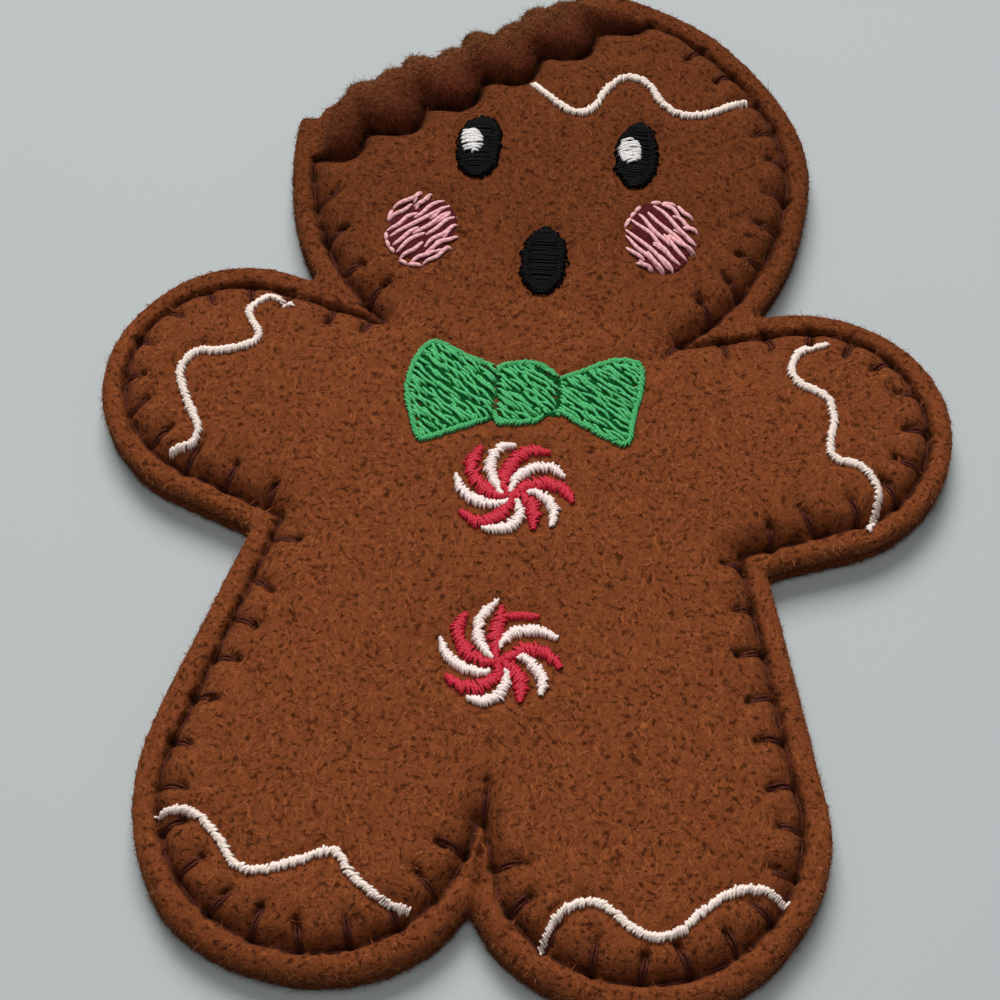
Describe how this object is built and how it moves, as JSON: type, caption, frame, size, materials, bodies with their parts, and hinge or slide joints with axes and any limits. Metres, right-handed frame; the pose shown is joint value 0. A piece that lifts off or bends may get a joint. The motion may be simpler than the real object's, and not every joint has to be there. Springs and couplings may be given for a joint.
{
  "type": "felt christmas ornament",
  "caption": "Padded felt gingerbread-man ornament with a bite out of the head, blanket-stitched edge and embroidered face, bow tie, peppermint sweets and icing lines.",
  "frame": {"origin": "on the table under the middle of the cut outline, on the underside of the back felt", "axes": "the ornament lies on its back: +Z leaves the face, +Y points from the feet to the head, +X is the viewer's right"},
  "size_m": [0.0756, 0.1016, 0.0067],
  "materials": {
    "brown_felt": "needled felt, matt, with loose fibres",
    "filling": "soft polyester batting",
    "backing": "thin non-woven sheet",
    "brown_thread": "twisted embroidery thread, slight sheen",
    "white_thread": "satin-stitched thread, slight sheen",
    "black_thread": "satin-stitched thread, slight sheen",
    "pink_thread": "open fill of thread, slight sheen",
    "green_thread": "fill and satin-stitched thread, slight sheen",
    "red_thread": "satin-stitched thread, slight sheen"
  },
  "bodies": {
    "root": {"front_felt": "brown_felt", "back_felt": "brown_felt", "stuffing": "filling", "stabilizer": "backing", "seam_thread_front": "brown_thread", "seam_thread_back": "brown_thread", "icing_head": "white_thread", "icing_left_hand": "white_thread", "icing_right_hand": "white_thread", "icing_left_foot": "white_thread", "icing_right_foot": "white_thread", "left_eye": "black_thread", "right_eye": "black_thread", "left_eye_glint": "white_thread", "right_eye_glint": "white_thread", "mouth": "black_thread", "left_cheek": "pink_thread", "right_cheek": "pink_thread", "bow_left_wing": "green_thread", "bow_right_wing": "green_thread", "bow_knot": "green_thread", "bow_left_wing_border": "green_thread", "bow_right_wing_border": "green_thread", "bow_knot_border": "green_thread", "upper_sweet_white_1": "white_thread", "upper_sweet_white_2": "white_thread", "upper_sweet_white_3": "white_thread", "upper_sweet_white_4": "white_thread", "upper_sweet_white_5": "white_thread", "upper_sweet_red_1": "red_thread", "upper_sweet_red_2": "red_thread", "upper_sweet_red_3": "red_thread", "upper_sweet_red_4": "red_thread", "upper_sweet_red_5": "red_thread", "lower_sweet_white_1": "white_thread", "lower_sweet_white_2": "white_thread", "lower_sweet_white_3": "white_thread", "lower_sweet_white_4": "white_thread", "lower_sweet_white_5": "white_thread", "lower_sweet_red_1": "red_thread", "lower_sweet_red_2": "red_thread", "lower_sweet_red_3": "red_thread", "lower_sweet_red_4": "red_thread", "lower_sweet_red_5": "red_thread"}
  },
  "joints": []
}
